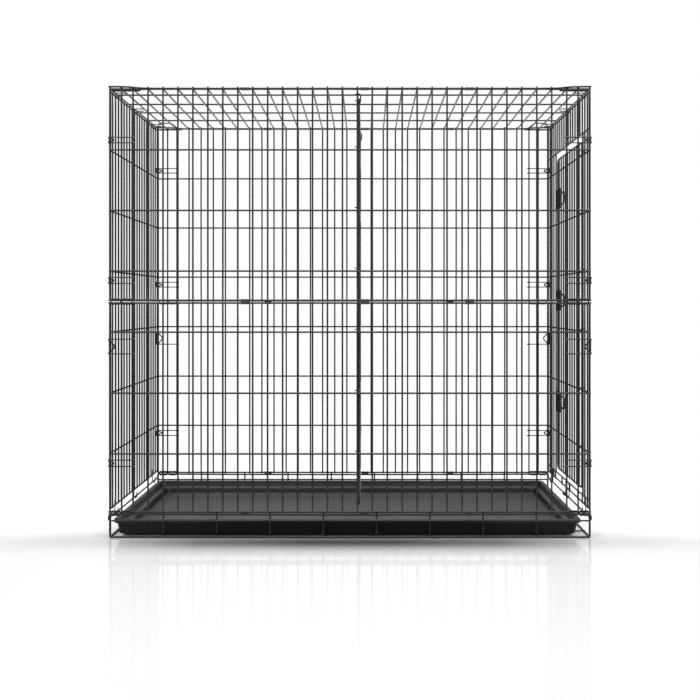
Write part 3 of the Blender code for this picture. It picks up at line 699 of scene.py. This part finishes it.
top_rods = []
for y in (-TOP_EDGE_Y, TOP_EDGE_Y):
    # The lid's edge sags over its last upright
    sag = [(-HALF_LENGTH - 0.003, TOP_Z - 0.0030), (-0.560, TOP_Z - 0.0026),
           (-0.525, TOP_Z - 0.0003), (-0.500, TOP_Z), (0.500, TOP_Z), (0.525, TOP_Z - 0.0003),
           (0.560, TOP_Z - 0.0026), (HALF_LENGTH + 0.003, TOP_Z - 0.0030)]
    top_rods.append((rounded([(x, y, z) for x, z in sag], 0.02), HEAVY))
top_rods += [(drawn((x, -TOP_EDGE_Y, TOP_Z), (x, TOP_EDGE_Y, TOP_Z)), HEAVY)
             for x in (-HALF_LENGTH, HALF_LENGTH)]
top_rods += [(drawn((x, -TOP_EDGE_Y - 0.001, TOP_Z - 0.0010),
                    (x, TOP_EDGE_Y + 0.001, TOP_Z - 0.0010)), ROD) for x in UPRIGHTS]
top_rods += [(drawn((-HALF_LENGTH - 0.002, y, TOP_Z + 0.0015),
                    (HALF_LENGTH + 0.002, y, TOP_Z + 0.0015)), ROD) for y in TOP_RUNS]
top_beads = [(x, y, TOP_Z + 0.0003) for x in UPRIGHTS for y in TOP_RUNS]

for sign in (-1, 1):
    rail_x = sign * HALF_LENGTH
    lid_z = TOP_Z + 0.0020
    for y in EYE_STATIONS:
        turn = [(rail_x + sign * EYE_TURN * math.cos(a), y, END_TOP_Z - EYE_TURN * math.sin(a))
                for a in (math.pi * k / 8 for k in range(9))]
        over = [(sign * 0.5860, y - 0.001, lid_z), (sign * 0.5950, y - 0.0060, lid_z),
                (sign * 0.6075, y - 0.0025, lid_z + 0.0003),
                (rail_x + sign * EYE_TURN, y - 0.0010, TOP_Z - 0.001)]
        under = [(rail_x - sign * EYE_TURN, y + 0.0015, END_TOP_Z + 0.0045),
                 (sign * 0.5970, y + 0.0050, TOP_Z - 0.0032),
                 (sign * 0.5860, y + 0.0010, TOP_Z - 0.0030)]
        top_rods.append((rounded(over + turn + under, 0.0025, 3), THIN))
    for way in (-1, 1):
        edge_y = way * (TOP_EDGE_Y - 0.0008)
        # A bail leans in over the lid, and its leg runs back under the edge as a stiffener
        bail = [(sign * 0.534, way * (TOP_EDGE_Y - 0.0026), TOP_Z - 0.0040),
                (sign * 0.6040, way * (TOP_EDGE_Y - 0.0026), TOP_Z - 0.0046),
                (sign * 0.6125, edge_y, TOP_Z + 0.0010),
                (sign * 0.5950, way * (TOP_EDGE_Y - 0.052), BAIL_Z),
                (sign * 0.5600, way * (TOP_EDGE_Y - 0.052), BAIL_Z),
                (sign * 0.5470, edge_y, TOP_Z + 0.0012)]
        top_rods.append((rounded(bail, 0.005), THIN * 1.15))
rods_piece("top_rods", "top_panel", "crate", top_rods, top_beads, flat_axis=2)


# ---------------------------------------------------------------- seam clips
# Each seam is held by crimped strips of mild steel. A strip is wrapped round the two rails, so
# that the walls can hinge on it, and pinched in between them.
CLIP_COAT = coat_finish("crimped_clip_coat", 0.013, 0.30, 1.0)
CLIP_LENGTH = 0.0226
CLIP_SHEET = 0.0009
CLIP_BORE = 0.00240
CLIP_PINCH = 0.0010
CLIP_GAP_TURN = 0.16    # the open seam's share of a half turn


def clip_profile(half_span, inset):
    """The band's line, from one lip of its seam round to the other, as (across, along)."""
    points = []
    count = 44
    for k in range(count + 1):
        turn = CLIP_GAP_TURN / 2 + (math.tau - CLIP_GAP_TURN) * k / count
        across = CLIP_BORE + inset
        c, s = math.cos(turn), math.sin(turn)
        along = s * (half_span + CLIP_BORE + inset)
        past = max(abs(along) - half_span, 0.0)
        width = math.sqrt(max(across ** 2 - past ** 2, 0.0))
        width -= CLIP_PINCH * math.exp(-(along / 0.0016) ** 2)
        points.append((math.copysign(width, c), along))
    return points


def seam_clip(node, centre, half_span, turned):
    bm = bmesh.new()
    wear = wear_layer(bm)
    inside = clip_profile(half_span, 0.0)
    outside = clip_profile(half_span, CLIP_SHEET)
    inward = -math.copysign(1.0, centre[1])
    stations = (-0.5, -0.485, -0.44, -0.25, -0.12, 0.12, 0.25, 0.44, 0.485, 0.5)
    rings = []
    for share in stations:
        tuck = 0.0003 if abs(share) == 0.5 else 0.0
        dent = 0.00022 if abs(share) < 0.2 else 0.0
        ring = []
        for line, shift in ((inside, tuck), (outside, -tuck - dent)):
            row = []
            for across, along in line:
                size = math.hypot(across, along)
                u, v = across * (1 + shift / size), along * (1 + shift / size)
                u *= inward
                y, z = (v, -abs(u) * math.copysign(1.0, across)) if turned else (u, v)
                vert = bm.verts.new((centre[0] + share * CLIP_LENGTH, centre[1] + y, centre[2] + z))
                vert[wear] = 0.75 if abs(share) > 0.46 else 0.18
                row.append(vert)
            ring.append(row)
        rings.append(ring[1] + ring[0][::-1])
    bridge(bm, rings)
    count = len(rings[0])
    for ring in (rings[0], rings[-1]):
        for k in range(count // 2 - 1):
            bm.faces.new((ring[k], ring[k + 1], ring[count - 2 - k], ring[count - 1 - k]))
    add_piece(node + "_band", bm, "crate", CLIP_COAT, (node,), sharp_degrees=45)


for wall, side in (("front", -1), ("back", 1)):
    for seam in ("base", "middle", "top"):
        for end in ("left", "centre", "right"):
            node = f"clip_{wall}_{seam}_{end}"
            low, high = (Vector(corner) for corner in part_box(node))
            middle = (low + high) / 2
            turned = seam == "top"
            if turned:
                middle.y += side * RAIL_OUT / 2
            else:
                middle.y += side * RAIL_OUT
            spacing = (high.y - low.y if turned else high.z - low.z) - 0.0076
            seam_clip(node, middle, spacing / 2 + (RAIL_OUT / 2 if turned else 0.0), turned)


# ---------------------------------------------------------------- divider panel
# A loose grid that splits the cabin. Its hooks pass between the long walls' rods and catch
# behind one upright on each side.
divider_low, divider_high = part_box("divider_panel")
DIVIDER_X = divider_high[0] - HEAVY_CAD / 2
DIVIDER_Y = 0.360
DIVIDER_BOTTOM = divider_low[2] + HEAVY_CAD / 2
DIVIDER_TOP = divider_high[2] - HEAVY_CAD / 2
DIVIDER_HOOKS = (0.092, 0.221, 0.375, 0.530, 0.685, 0.839, 0.993, 1.110)
HOOK_CATCH_X = PITCH / 2
catch_y = cad_high[1] - THIN * 1.15 - 0.0001

x = DIVIDER_X
frame_loop = [(x, 0, DIVIDER_TOP), (x, DIVIDER_Y, DIVIDER_TOP), (x, DIVIDER_Y, DIVIDER_BOTTOM),
              (x, -DIVIDER_Y, DIVIDER_BOTTOM), (x, -DIVIDER_Y, DIVIDER_TOP),
              (x, -0.0005, DIVIDER_TOP)]
divider_rods = [(rounded(frame_loop, 0.012), HEAVY)]
divider_rods += [(drawn((x - UPRIGHT_IN, y, DIVIDER_BOTTOM - 0.002),
                        (x - UPRIGHT_IN, y, DIVIDER_TOP + 0.002)), ROD) for y in END_UPRIGHTS]
divider_rods += [(drawn((x + CROSS_OUT, -DIVIDER_Y - 0.002, z),
                        (x + CROSS_OUT, DIVIDER_Y + 0.002, z)), ROD)
                 for z in LOWER_CROSS + UPPER_CROSS]
for side in (-1, 1):
    for z in DIVIDER_HOOKS:
        hook = [(x + 0.0003, side * (DIVIDER_Y - 0.030), z + 0.001),
                (x, side * (DIVIDER_Y + 0.002), z), (x - 0.0002, side * catch_y, z),
                (HOOK_CATCH_X - 0.0052, side * catch_y, z + 0.0004),
                (HOOK_CATCH_X - 0.0060, side * (catch_y - 0.0022), z + 0.0006)]
        divider_rods.append((rounded(hook, 0.0024), THIN))
    # The topmost hook is a long eye
    eye = [(x + 0.0010, side * (DIVIDER_Y + 0.0010), DIVIDER_TOP - 0.016),
           (x + 0.0042, side * (DIVIDER_Y + 0.0014), DIVIDER_TOP - 0.006),
           (x + 0.0042, side * (DIVIDER_Y + 0.0014), DIVIDER_TOP + 0.0085),
           (x + 0.0010, side * (DIVIDER_Y + 0.0022), DIVIDER_TOP + 0.0110),
           (x - 0.0052, side * (catch_y - 0.0006), DIVIDER_TOP + 0.0100),
           (x - 0.0100, side * catch_y, DIVIDER_TOP + 0.0080)]
    divider_rods.append((rounded(eye, 0.004), THIN * 1.15))
divider_beads = [(x - 0.0004, y, z) for y in END_UPRIGHTS
                 for z in (DIVIDER_BOTTOM, DIVIDER_TOP, *LOWER_CROSS, *UPPER_CROSS)]
rods_piece("divider_rods", "divider_panel", "crate", divider_rods, divider_beads, flat_axis=0)


# ---------------------------------------------------------------- door
# The door is one tall grid in a bent frame of heavy rod. The ends of its cross rods are curled
# into eyes round the doorway's front leg, and it swings out on them.
DOOR_BOTTOM = outer("door", 2, -1)
DOOR_TOP = outer("door", 2, 1)
DOOR_BACK_Y = HINGE_Y + 0.0145
DOOR_CROSS_OUT = 0.0010     # less than elsewhere, so that the open door lies flat on the wall
x = HALF_LENGTH
door_loop = [(x, 0, DOOR_TOP), (x, DOOR_EDGE_Y, DOOR_TOP), (x, DOOR_EDGE_Y, DOOR_BOTTOM),
             (x, DOOR_BACK_Y, DOOR_BOTTOM), (x, DOOR_BACK_Y, DOOR_TOP), (x, -0.0005, DOOR_TOP)]
door_rods = [(rounded(door_loop, 0.016, 6), HEAVY)]
door_bars = [n * PITCH + 0.010 for n in range(-6, 4)]
door_rods += [(drawn((x - UPRIGHT_IN, y, DOOR_BOTTOM - 0.0022),
                     (x - UPRIGHT_IN, y, DOOR_TOP + 0.0022)), ROD) for y in door_bars]
for z in LOWER_CROSS + UPPER_CROSS:
    door_rods.append((drawn((x + DOOR_CROSS_OUT, DOOR_BACK_Y, z),
                            (x + DOOR_CROSS_OUT, DOOR_EDGE_Y + 0.002, z)), ROD))
    curl = []
    for k in range(21):
        a = math.pi / 2 - math.tau * 0.92 * k / 20
        curl.append((x + EYE_TURN * math.cos(a), HINGE_Y + EYE_TURN * math.sin(a),
                     z + 0.0068 + 0.00012 * k))
    tail = [(x + 0.0012, DOOR_BACK_Y + 0.030, z + 0.0034),
            (x + 0.0026, DOOR_BACK_Y + 0.004, z + 0.0058),
            (x + 0.0018, DOOR_BACK_Y - 0.006, z + 0.0066)]
    door_rods.append((tail + curl, THIN))
door_beads = [(x - 0.0004, y, z) for y in door_bars
              for z in (DOOR_BOTTOM, DOOR_TOP, *LOWER_CROSS, *UPPER_CROSS)]
rods_piece("door_rods", "door", "door", door_rods, door_beads, flat_axis=0)


# ---------------------------------------------------------------- latches
# Three slide bolts close the door. A pressed guide is riveted on the door's edge, a U of rod
# slides in its two tunnels, and the prongs enter the tunnels of a keeper on the doorway's leg.
LATCH_COAT = coat_finish("pressed_latch_coat", 0.012, 0.33, 1.0)
PRONG = 0.0021
TUNNEL_BORE = 0.0027
SHEET = 0.0011
PRONG_OUT = 0.0056      # from the back of the plates to the middle of a prong
GUIDE_TUNNEL_Y = 0.1425     # the guide's tunnels leave room for the crossbar when it is shot


def stamped(bm, outline, axis, start, stop):
    """A blank cut from sheet: the outline (over the two other axes, in order) from start to stop
    along the axis, with both edges broken. The cut edges are marked as worn."""
    wear = wear_layer(bm)
    centre = sum((Vector(p) for p in outline), Vector((0, 0))) / len(outline)
    lip = abs(stop - start) * 0.22
    way = math.copysign(1.0, stop - start)
    rings = []
    for along, trim in ((start, lip), (start + way * lip, 0), (stop - way * lip, 0), (stop, lip)):
        ring = []
        for point in outline:
            arm = Vector(point) - centre
            place = list(centre + arm * (1 - trim / arm.length))
            place.insert(axis, along)
            vert = bm.verts.new(place)
            vert[wear] = 0.7 if trim == 0 else 0.1
            ring.append(vert)
        rings.append(ring)
    bridge(bm, rings)
    bm.faces.new(rings[0])
    bm.faces.new(rings[-1])


def round_blank(low, high, radius, steps=5):
    """The outline of a rectangle from low to high with round corners."""
    half = (Vector(high) - Vector(low)) / 2
    middle = (Vector(high) + Vector(low)) / 2
    return [middle + p for p in corner_outline(half.x, half.y, radius, steps, 3)]


def tunnel(bm, back_x, prong_x, z, start, stop):
    """A strip of the sheet pressed out into a half pipe that a prong slides through."""
    line = [(back_x + SHEET, z - 0.0062), (back_x + SHEET + 0.0002, z - 0.0045)]
    line += [(prong_x + TUNNEL_BORE * math.sin(a), z - TUNNEL_BORE * math.cos(a))
             for a in (math.pi * k / 10 for k in range(11))]
    line += [(back_x + SHEET + 0.0002, z + 0.0045), (back_x + SHEET, z + 0.0062)]
    proud = [(back_x + SHEET * 1.3, z - 0.0060), (back_x + SHEET * 2.1, z - 0.0047)]
    reach = TUNNEL_BORE + SHEET
    proud += [(prong_x + reach * math.sin(a), z - reach * math.cos(a))
              for a in (math.pi * k / 10 for k in range(11))]
    proud += [(back_x + SHEET * 2.1, z + 0.0047), (back_x + SHEET * 1.3, z + 0.0060)]
    wear = wear_layer(bm)
    rings = []
    for y, worn in ((start, 0.8), (start + 0.001, 0.2), (stop - 0.001, 0.2), (stop, 0.8)):
        ring = [bm.verts.new((px, y, pz)) for px, pz in proud + line[::-1]]
        for vert in ring:
            vert[wear] = worn
        rings.append(ring)
    bridge(bm, rings)
    count = len(line)
    for ring in (rings[0], rings[-1]):
        for k in range(count - 1):
            bm.faces.new((ring[k], ring[k + 1], ring[-k - 2], ring[-k - 1]))


def rivet(bm, back_x, y, z):
    """The low dome of a rivet set through the sheet."""
    wear = wear_layer(bm)
    shape = Matrix.Translation((back_x + SHEET, y, z))
    shape @= Matrix.Diagonal((0.0011, 0.0026, 0.0026, 1))
    made = bmesh.ops.create_icosphere(bm, subdivisions=3, radius=1.0, matrix=shape)
    for vert in made["verts"]:
        vert[wear] = 0.45


for place in ("lower", "middle", "upper"):
    bolt_low, bolt_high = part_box(f"latch_bolt_{place}")
    handle_low, handle_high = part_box(f"latch_handle_{place}")
    guide_low, guide_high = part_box(f"latch_guide_{place}")
    middle_z = (guide_low[2] + guide_high[2]) / 2
    prong_x = guide_low[0] + PRONG_OUT
    pivot_x = (handle_low[0] + handle_high[0]) / 2
    pivot_y = (handle_low[1] + handle_high[1]) / 2
    gap = (bolt_high[2] - bolt_low[2]) / 2 - PRONG

    for part, body in (("guide", "door"), ("keeper", "crate")):
        low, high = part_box(f"latch_{part}_{place}")
        pipe_start = GUIDE_TUNNEL_Y if part == "guide" else low[1] + 0.0004
        bm = bmesh.new()
        stamped(bm, round_blank((low[1], low[2]), (high[1], high[2]), 0.004), 0,
                low[0] + 0.0001, low[0] + SHEET)
        for way in (-1, 1):
            tunnel(bm, low[0], prong_x, middle_z + way * gap, pipe_start, high[1] - 0.0004)
            rivet(bm, low[0], (low[1] + high[1]) / 2 - 0.004, middle_z + way * 0.0070)
        add_piece(f"{part}_{place}_pressing", bm, body, LATCH_COAT,
                  (f"latch_{part}_{place}",))

    # The bolt is one rod bent into a U, with a saddle of sheet on its crossbar for the handle
    bm = bmesh.new()
    bend = [(prong_x, bolt_high[1], middle_z + gap), (prong_x, pivot_y, middle_z + gap),
            (prong_x, pivot_y, middle_z - gap), (prong_x, bolt_high[1], middle_z - gap)]
    skin_rod(bm, rounded(bend, 0.006, 6), PRONG, 14)
    for cheek_y in (bolt_low[1], 2 * pivot_y - bolt_low[1] - SHEET):
        cheek = round_blank((bolt_low[0] + 0.0004, middle_z - 0.0038),
                            (bolt_high[0] - 0.0001, middle_z + 0.0038), 0.0030)
        stamped(bm, cheek, 1, cheek_y, cheek_y + SHEET)
    back_plate = round_blank((bolt_low[1] + SHEET * 0.5, middle_z - 0.0036),
                             (2 * pivot_y - bolt_low[1] - SHEET * 0.5, middle_z + 0.0036), 0.0008)
    stamped(bm, back_plate, 0, bolt_low[0] + 0.0001, bolt_low[0] + SHEET)
    add_piece(f"bolt_{place}_rod", bm, f"bolt_{place}", LATCH_COAT,
              (f"latch_bolt_{place}",))

    # The handle is a thin paddle with its edge curled over, hanging on a pin between the cheeks
    bm = bmesh.new()
    paddle = []
    for along, half_width in ((0.0019, 0.0030), (-0.0060, 0.0042), (-0.0300, 0.0050),
                              (-0.0560, 0.0060), (-0.0720, 0.0056), (-0.0768, 0.0030)):
        paddle.append((half_width, middle_z + along))
    edge = [(pivot_x, pivot_y + u, z) for u, z in paddle]
    edge += [(pivot_x, pivot_y - u, z) for u, z in reversed(paddle)]
    rim = rounded([*edge, edge[0]], 0.004)
    stamped(bm, [(p.y, p.z) for p in rim[:-1]], 0, pivot_x - 0.0006, pivot_x + 0.0006)
    heart = Vector((pivot_x, pivot_y, middle_z - 0.038))
    curl = [p + Vector((0, (heart.y - p.y) * 0.06, (heart.z - p.z) * 0.004)) for p in rim]
    skin_rod(bm, curl, 0.00095, 8)
    add_piece(f"handle_{place}_paddle", bm, f"handle_{place}", LATCH_COAT,
              (f"latch_handle_{place}",))


# ---------------------------------------------------------------- pan stop
# A bent wire that turns on the right base rail. Stood up it frees the tray, and swung over it
# drops in front of the tray's flange.
stop_low, stop_high = (Vector(corner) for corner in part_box("pan_stop"))
stop_y = ((stop_low.y + stop_high.y) / 2 - 0.010, (stop_low.y + stop_high.y) / 2 + 0.010)
stop_x = stop_high.x - THIN
stop_path = []
for y, order in ((stop_y[0], 1), (stop_y[1], -1)):
    curl = [(HALF_LENGTH + EYE_TURN * math.cos(a), y, END_RAIL_Z - EYE_TURN * math.sin(a))
            for a in (math.tau * 0.8 * k / 14 for k in range(14, -1, -1))]
    leg = curl + [(stop_x - 0.0002, y, END_RAIL_Z + 0.008), (stop_x, y, stop_high.z - 0.001)]
    stop_path += leg[::order]
rods_piece("pan_stop_rod", "pan_stop", "pan_stop", [(rounded(stop_path, 0.003, 3), THIN)])


# ---------------------------------------------------------------- floor
# Pale lacquered board under the crate. Shade is painted into its colour: a painted shadow and a
# painted reflection of the tray's dark front along the crate's front, a painted contact shadow
# under its front edge, a painted shadow band at its sides, and painted shade towards the camera.
# The board mirrors the lowest rods faintly, and its far side melts into the white sweep.
board, shader, place = new_finish("pale_board")


def bell(offset, width):
    """1 in the middle, falling softly to both sides over about the width."""
    share = offset * (1 / width)
    return (share * share * -1).math("EXPONENT", share * share * -1, 0.0)


across = place.node("ShaderNodeSeparateXYZ", {}, {0: place}, output="X")
along = place.node("ShaderNodeSeparateXYZ", {}, {0: place}, output="Y")
beside = across.math("ABSOLUTE", across, 0.0)
under = 1 - beside.ramp(0.38, 0.66)
outside = 1 - beside.ramp(0.70, 1.30)
# Painted shadow and painted reflection of the tray's dark front, in a band along the crate's front.
front = bell(along + 0.420, 0.095) * under * (0.70 - beside.ramp(0.10, 0.40) * 0.10)
# Painted shadow band beside the crate, to its left and right.
painted_side_shadow = bell(along + 0.395, 0.108) * (1 - under) * outside * 0.28
# A faint painted shade further out in front of the crate.
painted_far_shade = bell(along + 0.640, 0.070) * under * 0.04
# Painted shade: the board is painted darker towards the camera, where the overhead box lights it
# most.
near = (1 - along.ramp(-0.55, -0.15)) * 0.36
# Painted contact shadow just under the crate's front edge.
painted_contact_shadow = bell(along + 0.340, 0.032) * under * 0.30
# All the painted shade, which darkens the board's pale colour towards near black.
shade = front + painted_side_shadow + painted_far_shade + near + painted_contact_shadow
plug(shader, "Base Color", shade.blend(grey(0.94), grey(0.02)))
plug(shader, "Roughness", 0.05 + place.noise(3.0, 3.0) * 0.05)
plug(shader, "Specular IOR Level", 0.10)
away = (beside.ramp(0.66, 0.86) + along.ramp(0.45, 1.4)).ramp(0.0, 1.0)
# The painted shadow band beside the crate keeps the board opaque where the rest of it fades into
# the sweep.
held = (bell(along + 0.395, 0.108) * 4.0).ramp(0.0, 1.0) * outside
plug(shader, "Alpha", 1 - away * (1 - held))
bm = bmesh.new()
bmesh.ops.create_grid(bm, x_segments=2, y_segments=2, size=14.0)
ground_mesh = bpy.data.meshes.new("ground")
bm.to_mesh(ground_mesh)
bm.free()
ground = bpy.data.objects.new("ground", ground_mesh)
ground_mesh.materials.append(board)
bpy.context.collection.objects.link(ground)
